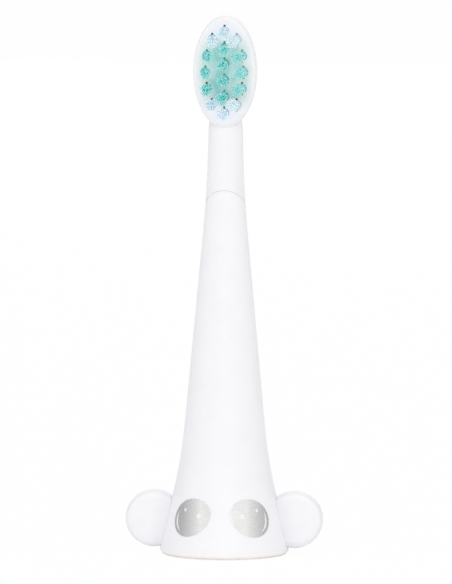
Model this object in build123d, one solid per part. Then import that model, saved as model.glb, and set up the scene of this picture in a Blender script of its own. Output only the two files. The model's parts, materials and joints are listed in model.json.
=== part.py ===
from build123d import *
import math
import os

# Electric toothbrush head for a small handle, in millimetres.
# +Z runs up the brush, the bristles and eyes face -Y, z = 0 is the plane it stands on.

# Overall sizes
TOTAL_HEIGHT = 78.0
BASE_RADIUS = 9.45

# Side profile of the body: a skirt, a long cone and a neck, with a slow bend between each
SKIRT_HEIGHT = 13.75
SKIRT_RADIUS = 6.265
SKIRT_BEND = 5.0
COLLAR_RADIUS = 2.68
COLLAR_BEND = 5.4
NECK_RADIUS = 2.47
NECK_LENGTH = 9.2

# Head plate
HEAD_WIDTH = 9.1
HEAD_LENGTH = 16.2
HEAD_THICKNESS = 4.4
FACE_PROUD = 0.3
FACE_ROUND = 0.6
BACK_ROUND = 1.7
SPINE_HEIGHT = 8.0
SPINE_RADIUS = 1.2
EDGE_STEPS = 2

# Tuft field
ROW_PITCH = 2.35
FIELD_HALF_WIDTH = 2.75
FIELD_HALF_LENGTH = 6.15
HOLE_RADIUS = 0.69
HOLE_DEPTH = 3.0
TUFT_LENGTH = 7.2
TUFT_FLARE = 0.12
TUFT_RIDGES = 6
RIDGE_HEIGHT = 0.09
TIP_CROWN = 0.22
GATHER_ACROSS = 0.16
GATHER_ALONG = 0.04
TUFT_FIT = 0.02

# Anchors that hold the tufts
ANCHOR_THICKNESS = 0.28
ANCHOR_BITE = 0.24
ANCHOR_HEIGHT = 1.2
ANCHOR_LIFT = 0.4
ANCHOR_FIT = 0.01

# Cover and its seam with the stem
COVER_WALL = 1.1
CORE_FIT = 0.03
SEAM_RISE = 0.2
SEAM_ARCH = 3.1
SEAM_GAP = 0.03
FOOT_CHAMFER = 0.25
CORE_BOTTOM = 13.0
CORE_ROOF = 1.5

# Ears
EAR_RADIUS = 4.12
EAR_SINK = 2.23
EAR_HEIGHT = 4.95
EAR_THICKNESS = 3.0
EAR_ROUND = 0.9

# Eye prints
EYE_ANGLE = 33.0
EYE_HEIGHT = 5.85
EYE_WIDTH = 6.4
EYE_TALL = 5.3
EYE_TILT = 21.0
EYE_FILM = 0.05
GLINT_RADIUS = 0.4
GLINT_IN = 1.4
GLINT_UP = 0.33
SPECK_RADIUS = 0.26
SPECK_OUT = 1.08
SPECK_UP = 1.04
CRESCENT_WIDTH = 0.36
CRESCENT_INSET = 0.4
CRESCENT_TILT = 15.0

# Ring at the foot
RING_PROUD = 0.22
RING_LIP = 0.45
RING_THICKNESS = 0.9
RING_WIDTH = 1.85
RING_FIT = 0.03

# Drive socket and its clip
SHAFT_RADIUS = 1.95
SHAFT_GRIP = 10.0
KEY_DEPTH = 3.0
KEY_STEP = 0.25
KEY_FLAT = 1.35
SOCKET_RADIUS = 3.0
SOCKET_FLANGE = 4.1
FLANGE_THICKNESS = 1.0
SOCKET_ROOF = 1.5
SOCKET_FIT = 0.02
CLIP_THICKNESS = 0.3
CLIP_WIDTH = 1.4
CLIP_WINDOW = 3.2
CLIP_FIT = 0.03
MOUTH_CHAMFER = 0.3

# Heights and depths that follow from the sizes above
HEAD_CENTRE = TOTAL_HEIGHT - HEAD_LENGTH / 2
NECK_TOP = TOTAL_HEIGHT - HEAD_LENGTH
COLLAR_HEIGHT = NECK_TOP - NECK_LENGTH
SEAM_PEAK = COLLAR_HEIGHT + SEAM_RISE
FACE_Y = -(NECK_RADIUS + FACE_PROUD)
HOLE_FLOOR_Y = FACE_Y + HOLE_DEPTH
ANCHOR_LOW_Y = HOLE_FLOOR_Y - ANCHOR_LIFT
RING_RADIUS = BASE_RADIUS - RING_LIP
RING_BORE = RING_RADIUS - RING_WIDTH
SOCKET_FOOT = CORE_BOTTOM - FLANGE_THICKNESS
GRIP_TOP = SOCKET_FOOT + SHAFT_GRIP
KEY_TOP = GRIP_TOP + KEY_DEPTH
SOCKET_TOP = KEY_TOP + SOCKET_ROOF
WINDOW_CENTRE = SOCKET_FOOT + FLANGE_THICKNESS + (SHAFT_GRIP - FLANGE_THICKNESS) / 2
CLIP_FOOT = WINDOW_CENTRE - CLIP_WINDOW
FAR = 2 * TOTAL_HEIGHT

# Radii that follow from the body's side and the cover's wall
SKIRT_TAPER = (BASE_RADIUS - SKIRT_RADIUS) / SKIRT_HEIGHT
CONE_TAPER = (SKIRT_RADIUS - COLLAR_RADIUS) / (COLLAR_HEIGHT - SKIRT_HEIGHT)
EAR_OFFSET = BASE_RADIUS - SKIRT_TAPER * EAR_HEIGHT + EAR_RADIUS - EAR_SINK
CORE_STEP = SOCKET_TOP + CORE_ROOF
CORE_RADIUS = SKIRT_RADIUS - CONE_TAPER * (CORE_STEP - SKIRT_HEIGHT) - COVER_WALL
PIN_RADIUS = COLLAR_RADIUS - COVER_WALL
CAVITY_FOOT = BASE_RADIUS - COVER_WALL
CAVITY_TOP = CAVITY_FOOT - SKIRT_TAPER * CORE_BOTTOM


def rounded_edge(radius):
    """Inset and depth of each step of a rounded edge, from its flat face round to its side."""
    steps = []
    for step in range(EDGE_STEPS + 1):
        turn = math.pi / 2 * step / EDGE_STEPS
        steps.append((radius * (1 - math.sin(turn)), radius * (1 - math.cos(turn))))
    return steps


def bend(before, corner, after, reach):
    """Slow bend round a corner, from the given reach before it to the same reach after it."""
    tip = Vector(*corner)
    start = tip + (Vector(*before) - tip).normalized() * reach
    end = tip + (Vector(*after) - tip).normalized() * reach
    return TangentArc(start, end, tangent=tip - start)


def side_corners(inset):
    """Corners of the side profile from the foot to the head, their radius less the inset."""
    return [
        (BASE_RADIUS - inset, 0.0),
        (SKIRT_RADIUS - inset, SKIRT_HEIGHT),
        (COLLAR_RADIUS - inset, COLLAR_HEIGHT),
        (NECK_RADIUS - inset, NECK_TOP),
    ]


def profile(inset=0.0):
    """Half section of the body's outside, its radius less the inset."""
    foot, skirt, collar, neck = side_corners(inset)
    low = bend(foot, skirt, collar, SKIRT_BEND)
    high = bend(skirt, collar, neck, COLLAR_BEND)
    side = [Line(foot, low @ 0), low, Line(low @ 1, high @ 0), high, Line(high @ 1, neck)]
    return make_face(side + Polyline(neck, (0, NECK_TOP), (0, 0), foot).edges())


def drum(radius, low, high):
    """Upright cylinder on the brush's axis between two heights."""
    return Pos(0, 0, (low + high) / 2) * Cylinder(radius, high - low)


def core(fit=0.0):
    """Stepped core that the cover is pressed on to, less a fit all round."""
    pin = drum(PIN_RADIUS - fit, CORE_STEP, NECK_TOP)
    return drum(CORE_RADIUS - fit, CORE_BOTTOM, CORE_STEP) + pin


def below_seam(lift=0.0):
    """Everything under the arched seam, which is the same on the front and the back."""
    centre = SEAM_PEAK - SEAM_ARCH
    arch = Pos(0, 0, centre) * Rot(90, 0, 0) * Cylinder(SEAM_ARCH + lift, FAR)
    block = Pos(0, 0, centre + lift - FAR / 2) * Box(FAR, FAR, FAR)
    return arch + block


def tuft_places():
    """Name of each tuft and its place across and along the head from the field's centre."""
    places = []
    for row in range(6):
        along = ROW_PITCH * (2.5 - row)
        places.append((f"tuft_centre_{row + 1}", 0.0, along))
    for row in range(5):
        along = ROW_PITCH * (2 - row)
        across = FIELD_HALF_WIDTH * math.sqrt(max(0.0, 1 - (along / FIELD_HALF_LENGTH) ** 2))
        places.append((f"tuft_left_{row + 1}", -across, along))
        places.append((f"tuft_right_{row + 1}", across, along))
    return places


def anchor(fit=0.0, up_to=None):
    """Flat anchor on edge across a tuft hole at the origin, or the slot that it is driven down."""
    high = ANCHOR_LOW_Y - ANCHOR_HEIGHT if up_to is None else up_to
    span = 2 * (HOLE_RADIUS + ANCHOR_BITE + fit)
    middle = (ANCHOR_LOW_Y + fit + high) / 2
    depth = ANCHOR_LOW_Y + fit - high
    return Pos(0, middle, 0) * Box(ANCHOR_THICKNESS + 2 * fit, depth, span)


def bundle_section(radius, x, y, z):
    """Ridged outline of a bundle of filaments, square to the bristles."""
    corners = []
    for corner in range(2 * TUFT_RIDGES):
        reach = radius - RIDGE_HEIGHT * (corner % 2)
        angle = math.pi * corner / TUFT_RIDGES
        corners.append((x + reach * math.cos(angle), y, z + reach * math.sin(angle)))
    return Face(Wire.make_polygon(corners))


def tuft(across, along):
    """One folded tuft: a shank in its hole round the anchor, then a flared, leaning brush."""
    shank_radius = HOLE_RADIUS - TUFT_FIT
    tip_radius = shank_radius + TUFT_FLARE
    tip_x = across * (1 - GATHER_ACROSS)
    tip_z = HEAD_CENTRE + along * (1 - GATHER_ALONG)
    foot_z = HEAD_CENTRE + along
    tip_y = FACE_Y - TUFT_LENGTH
    sections = [
        bundle_section(shank_radius, across, HOLE_FLOOR_Y - TUFT_FIT, foot_z),
        bundle_section(shank_radius, across, FACE_Y, foot_z),
        bundle_section(tip_radius, tip_x, tip_y + TIP_CROWN, tip_z),
        bundle_section(tip_radius - TIP_CROWN, tip_x, tip_y, tip_z),
    ]
    bundle = loft(sections, ruled=True)
    return bundle - Pos(across, 0, foot_z) * anchor(ANCHOR_FIT)


def head_plate():
    """Oval plate with a tight round on its face and a wide one on its back."""
    back_y = FACE_Y + HEAD_THICKNESS
    rims = [(inset, FACE_Y + depth) for inset, depth in rounded_edge(FACE_ROUND)]
    rims += [(inset, back_y - depth) for inset, depth in reversed(rounded_edge(BACK_ROUND))]
    ovals = []
    for inset, y in rims:
        oval = Ellipse(HEAD_WIDTH / 2 - inset, HEAD_LENGTH / 2 - inset)
        ovals.append(Pos(0, y, HEAD_CENTRE) * (Plane.XZ * oval))
    return loft(ovals, ruled=True)


def brush_stem():
    """Head plate, neck and core in one moulding."""
    neck = revolve(Plane.XZ * profile(), Axis.Z) - below_seam(SEAM_GAP)
    spine = Pos(0, 0, NECK_TOP + SPINE_HEIGHT / 2) * Cone(NECK_RADIUS, SPINE_RADIUS, SPINE_HEIGHT)
    seat = drum(SOCKET_RADIUS + SOCKET_FIT, CORE_BOTTOM - 1, SOCKET_TOP + CLIP_FIT)

    holes = []
    for _, across, along in tuft_places():
        place = Pos(across, 0, HEAD_CENTRE + along)
        hole = Pos(0, FACE_Y + HOLE_DEPTH / 2, 0) * Rot(90, 0, 0) * Cylinder(HOLE_RADIUS, HOLE_DEPTH)
        holes.append(place * (hole + anchor(ANCHOR_FIT, FACE_Y)))
    return head_plate() + spine + neck + core(CORE_FIT) - seat - holes


def ear():
    """Round flat ear with rounded rims, lying at the origin."""
    half = EAR_THICKNESS / 2
    rim = [(EAR_RADIUS - inset, half - depth) for inset, depth in rounded_edge(EAR_ROUND)]
    rim += [(radius, -height) for radius, height in reversed(rim)]
    section = make_face(Polyline((0, half), *rim, (0, -half), close=True))
    return revolve(Plane.XZ * section, Axis.Z)


def outer_cover():
    """Bell-shaped cover with its two ears, open at the foot."""
    section = profile() - Rectangle(FAR, 2 * RING_PROUD)
    section = chamfer(section.vertices().group_by(Axis.Y)[0].sort_by(Axis.X)[-1], FOOT_CHAMFER)
    shell = revolve(Plane.XZ * section, Axis.Z) & below_seam()
    for side in (-1, 1):
        shell += Pos(side * EAR_OFFSET, 0, EAR_HEIGHT) * Rot(90, 0, 0) * ear()
    cavity = Pos(0, 0, CORE_BOTTOM / 2) * Cone(CAVITY_FOOT, CAVITY_TOP, CORE_BOTTOM)
    rebate = drum(RING_RADIUS + RING_FIT, -1, RING_THICKNESS + RING_FIT)
    return shell - core() - cavity - rebate


def base_ring():
    """Flat ring in the cover's rebate, standing proud of the foot."""
    return drum(RING_RADIUS, 0, RING_THICKNESS) - drum(RING_BORE, -1, FAR)


def clip_outline(shift, top, grip):
    """Closed outline through the clip's two legs, their backs moved outwards by the shift."""
    back = math.sqrt(SOCKET_RADIUS**2 - (CLIP_WIDTH / 2) ** 2) - CLIP_THICKNESS / 2 + shift
    half = CLIP_WINDOW / 2
    leg = [
        (back, CLIP_FOOT),
        (back, WINDOW_CENTRE - half),
        (grip, WINDOW_CENTRE - half / 3),
        (grip, WINDOW_CENTRE + half / 3),
        (back, WINDOW_CENTRE + half),
        (back, top),
    ]
    other = [(-x, z) for x, z in reversed(leg)]
    return make_face(Polyline(*leg, *other, close=True))


def shaft_clip():
    """Sprung U-shaped clip that holds the drive shaft through two windows in the socket."""
    half = CLIP_THICKNESS / 2
    grip = SHAFT_RADIUS + CLIP_FIT
    outside = clip_outline(half, SOCKET_TOP, grip + CLIP_THICKNESS)
    inside = clip_outline(-half, SOCKET_TOP - CLIP_THICKNESS, grip)
    return extrude(Plane.XZ * (outside - inside), CLIP_WIDTH / 2, both=True)


def drive_socket():
    """Flanged insert with the shaft's bore, a keyed end and the clip's grooves and windows."""
    body = drum(SOCKET_RADIUS, SOCKET_FOOT, SOCKET_TOP)
    body += drum(SOCKET_FLANGE, SOCKET_FOOT, CORE_BOTTOM)
    bore = drum(SHAFT_RADIUS, SOCKET_FOOT - 1, GRIP_TOP)
    key = drum(SHAFT_RADIUS - KEY_STEP, GRIP_TOP, KEY_TOP)
    key -= Pos(0, KEY_FLAT + FAR / 2, 0) * Box(FAR, FAR, FAR)
    body -= bore + key
    mouth = body.edges().filter_by(GeomType.CIRCLE).group_by(Axis.Z)[0].sort_by(SortBy.RADIUS)[0]
    body = chamfer(mouth, MOUTH_CHAMFER)
    room = CLIP_THICKNESS / 2 + CLIP_FIT
    inside = clip_outline(-room, SOCKET_TOP - CLIP_THICKNESS - CLIP_FIT, SHAFT_RADIUS / 2)
    foot = CLIP_FOOT - CLIP_FIT
    groove = Pos(0, (foot + FAR) / 2) * Rectangle(FAR, FAR - foot) - inside
    return body - extrude(Plane.XZ * groove, CLIP_WIDTH / 2 + CLIP_FIT, both=True)


def eye_print(side):
    """Silver film on the cover in the shape of an eye, with three open highlights."""
    film = revolve(Plane.XZ * (profile(-EYE_FILM) - profile()), Axis.Z)
    lean = Rot(0, 0, -side * EYE_TILT)
    outline = lean * Ellipse(EYE_WIDTH / 2, EYE_TALL / 2)
    glint = Pos(-side * GLINT_IN, GLINT_UP) * Circle(GLINT_RADIUS)
    speck = Pos(side * SPECK_OUT, SPECK_UP) * Circle(SPECK_RADIUS)
    half_width = EYE_WIDTH / 2 - CRESCENT_INSET
    half_tall = EYE_TALL / 2 - CRESCENT_INSET
    swell = 2.4 * CRESCENT_WIDTH
    reach = CRESCENT_WIDTH + swell
    tilt = math.radians(CRESCENT_TILT)
    cutter = lean * Ellipse(half_width + swell, half_tall + swell)
    moved = Pos(-side * reach * math.cos(tilt), reach * math.sin(tilt)) * cutter
    crescent = lean * Ellipse(half_width, half_tall) - moved
    print_face = outline - glint - speck - crescent
    turn = math.radians(EYE_ANGLE) * side
    outward = (math.sin(turn), -math.cos(turn), 0)
    along = (math.cos(turn), math.sin(turn), 0)
    plane = Plane((0, 0, EYE_HEIGHT), x_dir=along, z_dir=outward)
    return film & extrude(plane * print_face, 2 * BASE_RADIUS)


pieces = {
    "brush_stem": brush_stem(),
    "outer_cover": outer_cover(),
    "base_ring": base_ring(),
    "drive_socket": drive_socket(),
    "shaft_clip": shaft_clip(),
    "eye_print_left": eye_print(-1),
    "eye_print_right": eye_print(1),
}
anchors = []
for name, across, along in tuft_places():
    pieces[name] = tuft(across, along)
    anchors.append(Pos(across, 0, HEAD_CENTRE + along) * anchor())
pieces["tuft_anchors"] = Compound(anchors)

os.makedirs("parts", exist_ok=True)
for name, piece in pieces.items():
    piece.label = name
    export_step(piece, f"parts/{name}.step")
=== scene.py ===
import bpy
import json
import math
import random
from mathutils import Matrix, Vector


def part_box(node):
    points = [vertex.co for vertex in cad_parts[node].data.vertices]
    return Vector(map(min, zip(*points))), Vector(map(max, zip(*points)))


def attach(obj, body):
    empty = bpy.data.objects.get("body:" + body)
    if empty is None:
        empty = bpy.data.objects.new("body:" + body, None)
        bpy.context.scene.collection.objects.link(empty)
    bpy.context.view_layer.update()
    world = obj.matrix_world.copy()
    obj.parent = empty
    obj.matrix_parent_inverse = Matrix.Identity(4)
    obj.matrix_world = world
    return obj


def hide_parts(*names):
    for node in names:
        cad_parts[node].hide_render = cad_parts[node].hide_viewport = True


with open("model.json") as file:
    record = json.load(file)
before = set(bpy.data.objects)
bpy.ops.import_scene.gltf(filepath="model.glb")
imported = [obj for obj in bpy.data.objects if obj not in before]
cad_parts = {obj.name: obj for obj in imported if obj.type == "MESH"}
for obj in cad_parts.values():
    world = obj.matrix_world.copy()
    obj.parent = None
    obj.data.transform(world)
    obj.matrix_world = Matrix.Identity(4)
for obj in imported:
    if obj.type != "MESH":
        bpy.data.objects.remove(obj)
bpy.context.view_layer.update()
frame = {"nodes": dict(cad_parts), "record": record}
nodes = frame["nodes"]
slots = {part["node"]: part["material_slot"] for part in frame["record"]["subparts"]}
tufts = sorted(name for name, slot in slots.items() if slot.startswith("bristle"))
scene = bpy.context.scene
scene.view_settings.view_transform = "Standard"

MM = 0.001
MM_IN_A_METRE = 1000.0

# Camera: angles in degrees, distances in metres, lens and sensor in millimetres
VIEW_AZIMUTH = 4.5
VIEW_ELEVATION = 5.14
VIEW_ROLL = 0.2
VIEW_DISTANCE = 0.95
VIEW_CENTRE = Vector((0.12 * MM, 0.0, 37.92 * MM))
LENS = 405.0
SENSOR_HEIGHT = 36.0
NEAREST_SEEN = 0.05
FARTHEST_SEEN = 200.0

# Margins for telling the solids' points apart, in millimetres
SAME_LEVEL = 0.01
EAR_MARGIN = 1.0

# Middle range of a noise, how much wider metal is clouded than grained, and samples at a rounded corner
NOISE_LOW = 0.3
NOISE_HIGH = 0.7
CLOUD_TO_GRAIN = 12
CORNER_SAMPLES = 8

# Painted light and shade from the bristles on the head plate, and painted shade in the holes and at the
# slot ends, in millimetres
FACE_SKIN = 0.2
BRISTLE_SHADE_PATCH = 1.7
HOLE_SHADE_START = 0.05
HOLE_SHADE_FULL = 0.5
HOLES_BACK = 0.5
SLOT_HALF_WIDTH = 0.22
DOT_PATCH = 2.4
BLUE_DOT_START = 0.2
BLUE_DOT_FULL = 0.6

# Where the painted light from the bristles starts to fade and ends, and where the holes end, as
# field_reach measures it
BRISTLE_LIGHT_FULL = 0.3
BRISTLE_LIGHT_END = 2.5
HOLES_END = 1.6

# Rims and painted shade of the ears, and the painted light on the foot's edge, in millimetres
RIM_RADIUS = 0.7
RIM_FULL = 1.5
RIM_END = 1.0
EAR_SHADE_TOP = 0.05
EAR_SHADE_GAP = 0.1
EAR_SHADE_WIDTH = 2.4
PAINTED_LIGHT_FOOT_EDGE = 0.02

# How far to the right the painted light and shade on the eyes lies, in millimetres
EYE_LIGHT_ASIDE = 0.4

# Filaments: how many to a tuft, sizes in millimetres, and the rounded end in shares of the radius
FILAMENTS = 58
FILAMENT_RADIUS = 0.077
FILAMENT_SIDES = 6
FILAMENT_ROOT = 0.7
FILAMENT_END = ((0.55, 0.83), (0.9, 0.45))
SCATTER_DEPTH = 0.15

# Where the bristles' colour and their painted light and shade change, in shares: across a tuft, along a
# filament and across the plate
CORE_TO_SIDE = (0.35, 0.95)
ROOT_TO_BODY = (0.0, 0.45)
BODY_TO_TIP = (0.94, 0.98)
PAINTED_LIGHT_FROM = 0.3

# Tufts: lengths in millimetres, the turn from filament to filament in half circles, spread as a factor
BUNDLE_RADIUS = 0.6
GOLDEN_TURN = 3 - math.sqrt(5)
LEAST_SPREAD = 1.3
MOST_SPREAD = 1.6
LEAN_RIGHT = 0.22
LEAN_UP = 0.1
LEAN_VARIES = 0.08

# How filaments differ: lengths in millimetres, with the loose ones and the bends in shares
STRAY = 0.09
LOOSE_STRAY = 0.14
LOOSE_SHARE = 0.12
SHORT = 0.1
SHORT_VARIES = 0.1
BOW = 0.03
LOWER_BEND = 0.4
UPPER_BEND = 0.75
UPPER_BOW = 0.7

# Plugs of tightly packed filaments in the holes, in millimetres
PLUG_RADIUS = 0.67
PLUG_SIDES = 18
PLUG_DEPTH = 0.05
PLUG_DOME = 0.03
PLUG_DOME_SHARE = 0.7

# Slots filled by filaments, with the depth at their upper and lower end in millimetres
SLOT_ASIDE = 0.79
SLOT_RADIUS = 0.14
SLOT_SIDES = 10
OPEN_SLOT = (None, None)
FILLED_SLOTS = {
    "tuft_left_2": (0.06, 0.06),
    "tuft_left_3": (0.06, 0.06),
    "tuft_centre_2": (0.06, 0.06),
    "tuft_centre_3": (0.06, 0.06),
    "tuft_centre_4": (0.12, 0.06),
    "tuft_centre_5": (0.06, 0.06),
    "tuft_right_1": (0.15, 0.06),
    "tuft_right_2": (0.15, 0.15),
    "tuft_right_3": (0.15, 0.15),
    "tuft_right_5": (None, 0.06),
}

# Floor, room and lamps: lengths in metres, and each lamp's place and power in watts
FLOOR_HALF_WIDTH = 60.0
FLOOR_DROP = 0.02 * MM
FLOOR_OWN_LIGHT = 0.96
ROOM_BRIGHT_SIDE = (0.05, -0.71, 0.7)
ROOM_STRENGTH = 1.06
LAMP_SIZE = 0.9
LAMP_AIM = Vector((0.0, 0.0, 0.04))
LAMPS = {
    "front_soft": ((0.08, -1.0, 0.7), 1.5),
    "back_soft": ((0.0, 1.2, 0.35), 1.7),
}


# Camera, as in the photograph

def place_camera():
    data = bpy.data.cameras.new("camera")
    data.sensor_fit = "VERTICAL"
    data.sensor_height = SENSOR_HEIGHT
    data.lens = LENS
    data.clip_start = NEAREST_SEEN
    data.clip_end = FARTHEST_SEEN
    camera = bpy.data.objects.new("camera", data)
    scene.collection.objects.link(camera)
    turn = math.radians(VIEW_AZIMUTH)
    lift = math.radians(VIEW_ELEVATION)
    away = Vector((math.sin(turn) * math.cos(lift), -math.cos(turn) * math.cos(lift), math.sin(lift)))
    camera.location = VIEW_CENTRE + away * VIEW_DISTANCE
    look = (-away).to_track_quat("-Z", "Y").to_matrix()
    roll = Matrix.Rotation(math.radians(VIEW_ROLL), 3, "Z")
    camera.rotation_euler = (look @ roll).to_euler()
    scene.camera = camera


place_camera()


# Places read from the solids

def tuft_ends(name):
    """Middles of a tuft's foot, deep in its hole, and of its tip."""
    points = [vert.co for vert in nodes[name].data.vertices]
    ends = []
    for pick in (max, min):
        level = pick(point.y for point in points)
        ring = [point for point in points if abs(point.y - level) < SAME_LEVEL * MM]
        x = [point.x for point in ring]
        z = [point.z for point in ring]
        ends.append(Vector(((min(x) + max(x)) / 2, level, (min(z) + max(z)) / 2)))
    return ends


# The tufts, and the plate's face that they stand in
ends = {name: tuft_ends(name) for name in tufts}
feet = [foot for foot, tip in ends.values()]
green_feet = [ends[name][0] for name in tufts if slots[name] == "bristle_green"]
tip_y = min(tip.y for foot, tip in ends.values())
field_low = min(foot.z for foot in feet)
field_high = max(foot.z for foot in feet)
field_centre = (field_low + field_high) / 2
field_half_length = (field_high - field_low) / 2
field_half_width = max(foot.x for foot in feet)
green_half_length = max(abs(foot.z - field_centre) for foot in green_feet)
face_y = min(vert.co.y for vert in nodes["brush_stem"].data.vertices if vert.co.z > field_low)

# The ears, and the slanting line from the cover's foot to its widest point above them
base_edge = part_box("base_ring")[1].x + EAR_MARGIN * MM
cover_points = [vert.co for vert in nodes["outer_cover"].data.vertices]
ear_heights = [point.z for point in cover_points if abs(point.x) > base_edge]
ear_low = min(ear_heights)
ear_high = max(ear_heights)
foot_point = max(cover_points, key=lambda point: point.y)
above_ears = [point for point in cover_points if point.z > ear_high]
knee_point = max(above_ears, key=lambda point: point.xy.length)
body_taper = (foot_point.xy.length - knee_point.xy.length) / (knee_point.z - foot_point.z)
body_radius = foot_point.xy.length + body_taper * foot_point.z

# The eyes' edges
eye_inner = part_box("eye_print_right")[0].x
eye_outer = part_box("eye_print_right")[1].x


# Node helpers

class Shader:
    """A material's node tree with its Principled shader, and short ways to add nodes."""

    def __init__(self, name):
        self.material = bpy.data.materials.new(name)
        self.material.use_nodes = True
        self.tree = self.material.node_tree
        self.tree.nodes.clear()
        self.out = self.add("OutputMaterial")
        self.bsdf = self.add("BsdfPrincipled")
        self.join(self.bsdf.outputs["BSDF"], self.out.inputs["Surface"])
        self.place = self.add("TexCoord").outputs["Object"]
        split = self.add("SeparateXYZ")
        self.join(self.place, split.inputs["Vector"])
        self.x, self.y, self.z = split.outputs

    def add(self, kind):
        return self.tree.nodes.new("ShaderNode" + kind)

    def join(self, source, target):
        self.tree.links.new(source, target)

    def feed(self, socket, value):
        """Links a node's output to the socket, or sets its value."""
        if isinstance(value, (int, float)):
            socket.default_value = value
        elif isinstance(value, tuple):
            socket.default_value = (*value, 1.0)
        else:
            self.join(value, socket)

    def noise(self, size_mm, detail=2.0, roughness=0.5):
        node = self.add("TexNoise")
        node.inputs["Scale"].default_value = MM_IN_A_METRE / size_mm
        node.inputs["Detail"].default_value = detail
        node.inputs["Roughness"].default_value = roughness
        self.join(self.place, node.inputs["Vector"])
        return node.outputs["Fac"]

    def ramp(self, source, stops):
        node = self.add("ValToRGB")
        elements = node.color_ramp.elements
        while len(elements) < len(stops):
            elements.new(0.5)
        for element, (place, colour) in zip(elements, stops):
            element.position = place
            element.color = (*colour, 1.0)
        self.join(source, node.inputs["Fac"])
        return node.outputs["Color"]

    def cloudy(self, noise, low, high):
        """Colour that changes with a noise from low to high."""
        return self.ramp(noise, [(NOISE_LOW, low), (NOISE_HIGH, high)])

    def spread(self, source, over=(0.0, 1.0), to=(0.0, 1.0)):
        """Value that runs between the two of to while the source runs between the two of over."""
        node = self.add("MapRange")
        node.inputs["From Min"].default_value = over[0]
        node.inputs["From Max"].default_value = over[1]
        node.inputs["To Min"].default_value = to[0]
        node.inputs["To Max"].default_value = to[1]
        self.join(source, node.inputs["Value"])
        return node.outputs["Result"]

    def math(self, kind, one, two=0.0):
        node = self.add("Math")
        node.operation = kind
        self.feed(node.inputs[0], one)
        self.feed(node.inputs[1], two)
        return node.outputs["Value"]

    def product(self, first, *others):
        result = first
        for other in others:
            result = self.math("MULTIPLY", result, other)
        return result

    def distance(self, one, two):
        return self.math("ABSOLUTE", self.math("SUBTRACT", one, two))

    def mix(self, factor, one, two, kind="MIX"):
        """Mix of two colours, which are the node's inputs 6 and 7 and its output 2."""
        node = self.add("Mix")
        node.data_type = "RGBA"
        node.blend_type = kind
        self.feed(node.inputs[0], factor)
        self.feed(node.inputs[6], one)
        self.feed(node.inputs[7], two)
        return node.outputs[2]

    def blend_normal(self, factor, one, two):
        """Mix of two normals, which are the node's inputs 4 and 5 and its output 1."""
        node = self.add("Mix")
        node.data_type = "VECTOR"
        self.join(factor, node.inputs[0])
        self.join(one, node.inputs[4])
        self.join(two, node.inputs[5])
        return node.outputs[1]

    def soft_corners(self, radius_mm, full, stop):
        """Normal that rounds off corners, more and more up to the height full, and none above stop."""
        bevel = self.add("Bevel")
        bevel.samples = CORNER_SAMPLES
        bevel.inputs["Radius"].default_value = radius_mm * MM
        rise = self.spread(self.z, over=(0.0, full))
        share = self.product(rise, self.math("LESS_THAN", self.z, stop))
        return self.blend_normal(share, self.add("NewGeometry").outputs["Normal"], bevel.outputs["Normal"])

    def bump(self, height, strength, depth_mm, normal=None):
        node = self.add("Bump")
        node.inputs["Strength"].default_value = strength
        node.inputs["Distance"].default_value = depth_mm * MM
        self.join(height, node.inputs["Height"])
        if normal:
            self.join(normal, node.inputs["Normal"])
        self.join(node.outputs["Normal"], self.bsdf.inputs["Normal"])

    def colour(self, source):
        self.join(source, self.bsdf.inputs["Base Color"])

    def roughness(self, noise, low, high):
        """Roughness that changes with a noise from low to high."""
        rough = self.spread(noise, over=(NOISE_LOW, NOISE_HIGH), to=(low, high))
        self.join(rough, self.bsdf.inputs["Roughness"])


# White plastics

def white_plastic(name, low, high):
    """Satin moulded plastic: its shader, its faintly cloudy colour and its fine grain."""
    shader = Shader(name)
    cloud = shader.noise(size_mm=3.0, detail=3.0)
    grain = shader.noise(size_mm=0.12)
    shader.roughness(grain, low=0.36, high=0.44)
    shader.bsdf.inputs["Specular IOR Level"].default_value = 0.4
    return shader, shader.cloudy(cloud, low, high), grain


def field_reach(shader, along):
    """Distance from the middle of the tufts, squared, in shares of their field's half width and length."""
    across = shader.math("DIVIDE", shader.x, field_half_width)
    far = shader.math("DIVIDE", along, field_half_length)
    return shader.math("ADD", shader.product(across, across), shader.product(far, far))


def painted_bristle_light(shader, tone, along, reach, end):
    """Painted light and shade coloured by the tufts on the plate's face: deeper painted shade towards its
    lower end and in soft patches, and bluer at both ends.
    """
    # painted shade, deeper towards the plate's lower end
    lower = shader.spread(along, over=(-green_half_length, 0.0), to=(0.9, 0.0))
    bristle_light = shader.mix(lower, (0.24, 0.59, 0.55), (0.2, 0.48, 0.48))
    bristle_light = shader.mix(end, bristle_light, (0.62, 0.74, 0.88))
    fade = shader.spread(reach, over=(BRISTLE_LIGHT_FULL, BRISTLE_LIGHT_END), to=(0.98, 0.0))
    fainter = shader.spread(end, to=(1.0, 0.6))
    # painted shade in soft patches between the tufts
    patchy_shade = shader.spread(shader.noise(BRISTLE_SHADE_PATCH, detail=1.0), over=(0.38, 0.62), to=(0.72, 1.0))
    front = shader.math("LESS_THAN", shader.y, face_y + FACE_SKIN * MM)
    return shader.mix(shader.product(fade, fainter, patchy_shade, front), tone, bristle_light)


def hole_depth(shader, reach):
    """How deep in the tuft holes a point lies, from 0 near the plate's face to 1."""
    inside = shader.math("LESS_THAN", reach, HOLES_END)
    hole = shader.math("LESS_THAN", shader.y, HOLES_BACK * MM)
    depth = shader.spread(shader.y, over=(face_y + HOLE_SHADE_START * MM, face_y + HOLE_SHADE_FULL * MM))
    return shader.product(inside, hole, depth)


def slot_strips(shader):
    """1 on the upright strips along the columns of tufts, where the anchors' slots lie, else 0."""
    columns = sorted({round(foot.x / MM, 2) for foot in feet})
    near = shader.distance(shader.x, columns[0] * MM)
    for column in columns[1:]:
        near = shader.math("MINIMUM", near, shader.distance(shader.x, column * MM))
    return shader.math("LESS_THAN", near, SLOT_HALF_WIDTH * MM)


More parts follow.
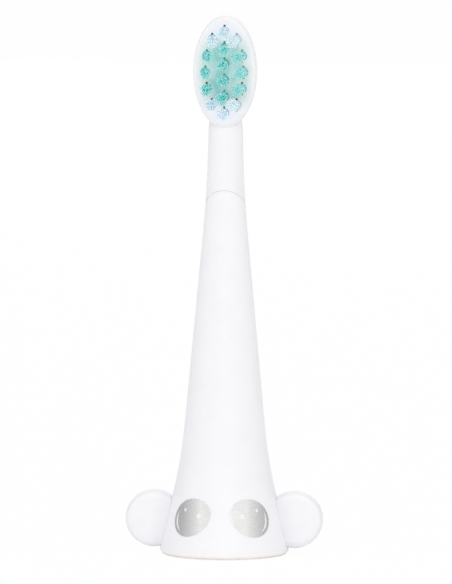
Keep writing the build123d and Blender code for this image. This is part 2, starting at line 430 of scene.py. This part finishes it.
def slot_shade(shader, along):
    """Painted shade at the slots' ends, dark beside the blue tufts and patchy beside the green ones."""
    patchy = shader.spread(shader.noise(DOT_PATCH, detail=0.0), over=(0.46, 0.58), to=(0.12, 1.0))
    blue_start = green_half_length + BLUE_DOT_START * MM
    blue_full = green_half_length + BLUE_DOT_FULL * MM
    blue = shader.spread(shader.distance(along, SLOT_ASIDE * MM), over=(blue_start, blue_full))
    strength = shader.math("MAXIMUM", shader.product(patchy, 0.6), blue)
    return shader.mix(strength, (0.8, 0.92, 0.9), (0.07, 0.12, 0.11))


def stem_material():
    """White plastic, with painted light and shade coloured by the tufts on the plate's face and painted
    shade down in their holes and at the slot ends.
    """
    shader, tone, grain = white_plastic("stem_satin", (0.925, 0.925, 0.93), (0.945, 0.945, 0.95))
    shader.bump(grain, strength=0.12, depth_mm=0.006)
    along = shader.math("SUBTRACT", shader.z, field_centre)
    reach = field_reach(shader, along)
    end = shader.spread(shader.math("ABSOLUTE", along), over=(green_half_length, field_half_length))
    # painted light and shade from the tufts on the plate's face
    tone = painted_bristle_light(shader, tone, along, reach, end)
    deep = hole_depth(shader, reach)
    # painted shade down in the holes, coloured by the tufts
    hole_shade = shader.mix(end, (0.22, 0.55, 0.5), (0.46, 0.62, 0.85))
    tone = shader.mix(deep, tone, hole_shade)
    # painted shade at the ends of the anchors' slots
    slot_shade_place = shader.product(slot_strips(shader), deep)
    shader.colour(shader.mix(slot_shade_place, tone, slot_shade(shader, along)))
    return shader.material


def cover_material():
    """White plastic with rounded ear rims, painted shade on the ears next to the body and painted light on
    the foot's edge.
    """
    shader, tone, grain = white_plastic("cover_satin", (0.925, 0.92, 0.935), (0.945, 0.94, 0.952))
    normal = shader.soft_corners(RIM_RADIUS, full=ear_low + RIM_FULL * MM, stop=ear_high + RIM_END * MM)
    shader.bump(grain, strength=0.12, depth_mm=0.006, normal=normal)
    # painted shade on the ears, darkest next to the body
    beyond = shader.math("ADD", shader.math("ABSOLUTE", shader.x), shader.product(shader.z, body_taper))
    below = shader.math("LESS_THAN", shader.z, ear_high + EAR_SHADE_TOP * MM)
    ear = shader.math("GREATER_THAN", beyond, body_radius + EAR_SHADE_GAP * MM)
    near = shader.spread(beyond, over=(body_radius, body_radius + EAR_SHADE_WIDTH * MM), to=(1.0, 0.0))
    tone = shader.mix(shader.product(below, ear, near), tone, (0.875, 0.865, 0.905))
    # painted light on the foot's downward edge
    foot = shader.math("LESS_THAN", shader.z, foot_point.z - PAINTED_LIGHT_FOOT_EDGE * MM)
    shader.colour(shader.mix(foot, tone, (1.0, 0.99, 0.98)))
    return shader.material


# Other materials

def ring_material():
    """Soft matt rubbery plastic in pale peach."""
    shader = Shader("ring_matt_peach")
    cloud = shader.noise(size_mm=1.2, detail=3.0)
    grain = shader.noise(size_mm=0.08)
    shader.colour(shader.cloudy(cloud, (0.94, 0.84, 0.79), (0.97, 0.89, 0.85)))
    shader.roughness(grain, low=0.55, high=0.7)
    shader.bump(grain, strength=0.2, depth_mm=0.01)
    return shader.material


def socket_material():
    """Natural acetal, slightly waxy, with faint flow marks."""
    shader = Shader("socket_acetal")
    cloud = shader.noise(size_mm=1.6, detail=4.0, roughness=0.6)
    grain = shader.noise(size_mm=0.1)
    shader.colour(shader.cloudy(cloud, (0.74, 0.75, 0.74), (0.82, 0.83, 0.81)))
    shader.roughness(cloud, low=0.3, high=0.45)
    shader.bump(grain, strength=0.1, depth_mm=0.006)
    return shader.material


def metal_material(name, low, high, rough_low, rough_high, grain_mm):
    """Bare metal with a fine grain and a faint cloudiness."""
    shader = Shader(name)
    grain = shader.noise(grain_mm, detail=4.0, roughness=0.7)
    cloud = shader.noise(grain_mm * CLOUD_TO_GRAIN)
    shader.colour(shader.cloudy(cloud, low, high))
    shader.roughness(grain, rough_low, rough_high)
    shader.bump(grain, strength=0.15, depth_mm=0.004)
    shader.bsdf.inputs["Metallic"].default_value = 1.0
    return shader.material


def eye_material():
    """Silver print full of fine metal flake, with painted light and shade across it, darker towards the
    inner and outer edge.
    """
    shader = Shader("eye_silver_flake")
    flake = shader.noise(size_mm=0.14, roughness=0.6)
    base = shader.ramp(flake, [
        (0.25, (0.83, 0.83, 0.82)),
        (0.5, (0.92, 0.92, 0.91)),
        (0.75, (1.0, 1.0, 0.99)),
    ])
    # painted light and shade across each eye, brightest between its inner and outer edge
    outward = shader.spread(shader.distance(shader.x, EYE_LIGHT_ASIDE * MM), over=(eye_inner, eye_outer))
    painted_eye_light = shader.ramp(outward, [
        (0.02, (0.84, 0.84, 0.84)),
        (0.35, (0.99, 0.99, 0.98)),
        (0.85, (0.71, 0.71, 0.7)),
    ])
    shader.colour(shader.mix(1.0, base, painted_eye_light, "MULTIPLY"))
    shader.roughness(flake, low=0.22, high=0.32)
    shader.bump(flake, strength=0.06, depth_mm=0.006)
    shader.bsdf.inputs["Metallic"].default_value = 1.0
    return shader.material


def filament_material(name, root, core, side, tip, deepest):
    """Waxy filament, deeper at its root and in the tuft's middle, partly its own colour and partly painted
    shade, pale at its end, and made paler on the right-hand tufts by painted light.
    """
    shader = Shader(name)
    rank = shader.add("Attribute")
    rank.attribute_name = "rank"
    out = shader.spread(shader.y, over=(face_y, tip_y))
    # deeper at the root and in the tuft's middle: partly the filaments' own colour, partly painted shade
    body = shader.mix(shader.spread(rank.outputs["Fac"], over=CORE_TO_SIDE), core, side)
    body = shader.mix(shader.spread(out, over=ROOT_TO_BODY), root, body)
    # painted light: the tufts on the right of the plate are paler
    right = shader.spread(shader.x, over=(PAINTED_LIGHT_FROM * field_half_width, field_half_width), to=(0.0, 0.8))
    body = shader.mix(right, body, shader.mix(0.35, side, tip))
    body = shader.mix(shader.spread(out, over=BODY_TO_TIP), body, tip)
    island = shader.add("NewGeometry").outputs["Random Per Island"]
    vary = shader.ramp(island, [(0.0, deepest), (1.0, (1.0, 1.0, 1.0))])
    grain = shader.noise(size_mm=0.05)
    shader.colour(shader.mix(1.0, body, vary, "MULTIPLY"))
    shader.roughness(grain, low=0.28, high=0.4)
    shader.bsdf.inputs["Subsurface Weight"].default_value = 0.6
    shader.bsdf.inputs["Subsurface Radius"].default_value = (1.0, 1.0, 1.0)
    shader.bsdf.inputs["Subsurface Scale"].default_value = SCATTER_DEPTH * MM
    shader.bump(grain, strength=0.1, depth_mm=0.004)
    return shader.material


materials = {
    "stem_white": stem_material(),
    "cover_white": cover_material(),
    "ring_peach": ring_material(),
    "socket_plastic": socket_material(),
    "clip_steel": metal_material(
        "clip_sprung",
        low=(0.62, 0.63, 0.64),
        high=(0.72, 0.73, 0.74),
        rough_low=0.22,
        rough_high=0.36,
        grain_mm=0.06,
    ),
    "anchor_metal": metal_material(
        "anchor_wire",
        low=(0.5, 0.5, 0.48),
        high=(0.62, 0.62, 0.6),
        rough_low=0.3,
        rough_high=0.45,
        grain_mm=0.05,
    ),
    "eye_silver": eye_material(),
    "bristle_green": filament_material(
        "green_filament",
        root=(0.04, 0.46, 0.4),
        core=(0.06, 0.53, 0.46),
        side=(0.37, 0.75, 0.73),
        tip=(0.48, 0.83, 0.8),
        deepest=(0.45, 0.86, 0.84),
    ),
    "bristle_blue": filament_material(
        "blue_filament",
        root=(0.42, 0.66, 0.9),
        core=(0.55, 0.79, 0.94),
        side=(0.74, 0.89, 0.98),
        tip=(0.85, 0.94, 0.99),
        deepest=(0.8, 0.93, 0.98),
    ),
}
for name, slot in slots.items():
    mesh = nodes[name].data
    mesh.materials.clear()
    mesh.materials.append(materials[slot])


# Tufts of separate filaments

def join_rings(faces, low, high, sides):
    """Adds a band of faces between two rings of points, given by their first points."""
    for step in range(sides):
        after = (step + 1) % sides
        faces.append((low + step, low + after, high + after, high + step))


def filament(verts, faces, path, radius):
    """Adds one round filament with a rounded end along a list of points, root first."""
    start = len(verts)
    heading = (path[-1] - path[0]).normalized()
    side = heading.orthogonal().normalized()
    other = heading.cross(side)
    rings = [(point, radius) for point in path]
    tip = path[-1]
    for ahead, share in FILAMENT_END:
        rings.append((tip + heading * radius * ahead, radius * share))
    for point, reach in rings:
        for step in range(FILAMENT_SIDES):
            angle = 2 * math.pi * step / FILAMENT_SIDES
            verts.append(point + side * (reach * math.cos(angle)) + other * (reach * math.sin(angle)))
    last = start + (len(rings) - 1) * FILAMENT_SIDES
    for low in range(start, last, FILAMENT_SIDES):
        join_rings(faces, low, low + FILAMENT_SIDES, FILAMENT_SIDES)
    verts.append(tip + heading * radius)
    for step in range(FILAMENT_SIDES):
        faces.append((last + step, last + (step + 1) % FILAMENT_SIDES, len(verts) - 1))
    faces.append(tuple(start + step for step in reversed(range(FILAMENT_SIDES))))


def plug(verts, faces, mouth, radius, sides, top):
    """Closes a hole below its mouth, where the filaments are packed tight."""
    start = len(verts)
    dome = (top - PLUG_DOME, radius * PLUG_DOME_SHARE)
    for depth, reach in ((FILAMENT_ROOT, radius), (top, radius), dome):
        for step in range(sides):
            angle = 2 * math.pi * step / sides
            verts.append(mouth + Vector((reach * math.cos(angle), depth, reach * math.sin(angle))) * MM)
    for low in (start, start + sides):
        join_rings(faces, low, low + sides, sides)
    faces.append(tuple(start + 2 * sides + step for step in range(sides)))
    faces.append(tuple(start + step for step in reversed(range(sides))))


def close_hole(name, verts, faces, mouth):
    """Plugs a tuft's hole, and the ends of its slot where filaments fill them."""
    plug(verts, faces, mouth, PLUG_RADIUS, PLUG_SIDES, PLUG_DEPTH)
    for aside, depth in zip((SLOT_ASIDE, -SLOT_ASIDE), FILLED_SLOTS.get(name, OPEN_SLOT)):
        if depth is not None:
            slot_end = mouth + Vector((0.0, 0.0, aside * MM))
            plug(verts, faces, slot_end, SLOT_RADIUS, SLOT_SIDES, depth)


def sideways(chance, amount):
    """Chance step across the tuft, spread by the amount in millimetres."""
    return Vector((chance.gauss(0, amount), 0.0, chance.gauss(0, amount))) * MM


def filament_path(chance, start, aim):
    """Points of one filament from its root, through the hole's mouth, to a tip near its aim."""
    stray = sideways(chance, LOOSE_STRAY if chance.random() < LOOSE_SHARE else STRAY)
    short = Vector((0.0, max(0.0, chance.gauss(SHORT, SHORT_VARIES)), 0.0)) * MM
    bow = sideways(chance, BOW)
    root = start + Vector((0, FILAMENT_ROOT * MM, 0))
    tip = aim + stray + short
    lower = start.lerp(tip, LOWER_BEND) + bow
    upper = start.lerp(tip, UPPER_BEND) + bow * UPPER_BOW
    return [root, start, lower, upper, tip]


def tuft_mesh(name, seed):
    """Filaments that leave their hole together and spread a little towards the tips."""
    chance = random.Random(seed)
    foot, end = ends[name]
    mouth = Vector((foot.x, face_y, foot.z))
    lean = Vector((chance.gauss(LEAN_RIGHT, LEAN_VARIES), 0.0, chance.gauss(LEAN_UP, LEAN_VARIES))) * MM
    spread = chance.uniform(LEAST_SPREAD, MOST_SPREAD)
    verts = []
    faces = []
    close_hole(name, verts, faces, mouth)
    ranks = [0.0] * len(verts)
    for count in range(FILAMENTS):
        reach = BUNDLE_RADIUS * MM * math.sqrt((count + 0.5) / FILAMENTS)
        angle = count * math.pi * GOLDEN_TURN + seed
        spot = Vector((reach * math.cos(angle), 0.0, reach * math.sin(angle)))
        path = filament_path(chance, mouth + spot, end + spot * spread + lean)
        filament(verts, faces, path, FILAMENT_RADIUS * MM)
        ranks += [reach / (BUNDLE_RADIUS * MM)] * (len(verts) - len(ranks))
    mesh = bpy.data.meshes.new(name + "_filaments")
    mesh.from_pydata(verts, [], faces)
    mesh.attributes.new("rank", "FLOAT", "POINT").data.foreach_set("value", ranks)
    mesh.polygons.foreach_set("use_smooth", [True] * len(mesh.polygons))
    mesh.materials.append(materials[slots[name]])
    return mesh


def tuft(name, seed):
    """One tuft in the place of its solid, of clear filaments that let the light through."""
    piece = bpy.data.objects.new(name + "_filaments", tuft_mesh(name, seed))
    scene.collection.objects.link(piece)
    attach(piece, "root")
    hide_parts(name)
    piece.visible_shadow = False
    piece.visible_diffuse = False


for seed, name in enumerate(tufts):
    tuft(name, seed + 1)


# Floor, world and lamps

def floor():
    """Plain pale floor that shows white to the camera and still takes the object's shadow."""
    half = FLOOR_HALF_WIDTH
    level = -FLOOR_DROP
    mesh = bpy.data.meshes.new("floor")
    corners = [(-half, -half, level), (half, -half, level), (half, half, level), (-half, half, level)]
    mesh.from_pydata(corners, [], [(0, 1, 2, 3)])
    shader = Shader("floor_white")
    shader.tree.nodes.remove(shader.bsdf)
    diffuse = shader.add("BsdfDiffuse")
    diffuse.inputs["Color"].default_value = (0.95, 0.95, 0.95, 1.0)
    glow = shader.add("Emission")
    glow.inputs["Color"].default_value = (1.0, 1.0, 1.0, 1.0)
    glow.inputs["Strength"].default_value = 1.0
    ray = shader.add("LightPath").outputs
    seen = shader.math("MAXIMUM", ray["Is Camera Ray"], ray["Is Glossy Ray"])
    seen = shader.math("MAXIMUM", seen, ray["Is Transmission Ray"])
    blend = shader.add("MixShader")
    shader.join(shader.product(seen, FLOOR_OWN_LIGHT), blend.inputs["Fac"])
    shader.join(diffuse.outputs["BSDF"], blend.inputs[1])
    shader.join(glow.outputs["Emission"], blend.inputs[2])
    shader.join(blend.outputs["Shader"], shader.out.inputs["Surface"])
    mesh.materials.append(shader.material)
    plane = bpy.data.objects.new("floor", mesh)
    scene.collection.objects.link(plane)


def studio():
    """White room, brightest in front and above, and dimmest behind and below."""
    world = bpy.data.worlds.new("studio")
    scene.world = world
    world.use_nodes = True
    tree = world.node_tree
    tree.nodes.clear()
    out = tree.nodes.new("ShaderNodeOutputWorld")
    back = tree.nodes.new("ShaderNodeBackground")
    coords = tree.nodes.new("ShaderNodeTexCoord")
    facing = tree.nodes.new("ShaderNodeVectorMath")
    facing.operation = "DOT_PRODUCT"
    facing.inputs[1].default_value = ROOM_BRIGHT_SIDE
    shift = tree.nodes.new("ShaderNodeMapRange")
    shift.inputs["From Min"].default_value = -1.0
    shift.inputs["From Max"].default_value = 1.0
    ramp = tree.nodes.new("ShaderNodeValToRGB")
    dim, bright = ramp.color_ramp.elements
    dim.color = (0.25, 0.225, 0.29, 1.0)
    bright.color = (1.0, 1.0, 1.0, 1.0)
    tree.links.new(coords.outputs["Generated"], facing.inputs[0])
    tree.links.new(facing.outputs["Value"], shift.inputs["Value"])
    tree.links.new(shift.outputs["Result"], ramp.inputs["Fac"])
    tree.links.new(ramp.outputs["Color"], back.inputs["Color"])
    back.inputs["Strength"].default_value = ROOM_STRENGTH
    tree.links.new(back.outputs["Background"], out.inputs["Surface"])


def lamp(name, place, power):
    """Large round lamp aimed at the object."""
    data = bpy.data.lights.new(name, "AREA")
    data.shape = "DISK"
    data.size = LAMP_SIZE
    data.energy = power
    light = bpy.data.objects.new(name, data)
    scene.collection.objects.link(light)
    light.location = place
    aim = LAMP_AIM - Vector(place)
    light.rotation_euler = aim.to_track_quat("-Z", "Y").to_euler()


floor()
studio()
for name, (place, power) in LAMPS.items():
    lamp(name, place, power)
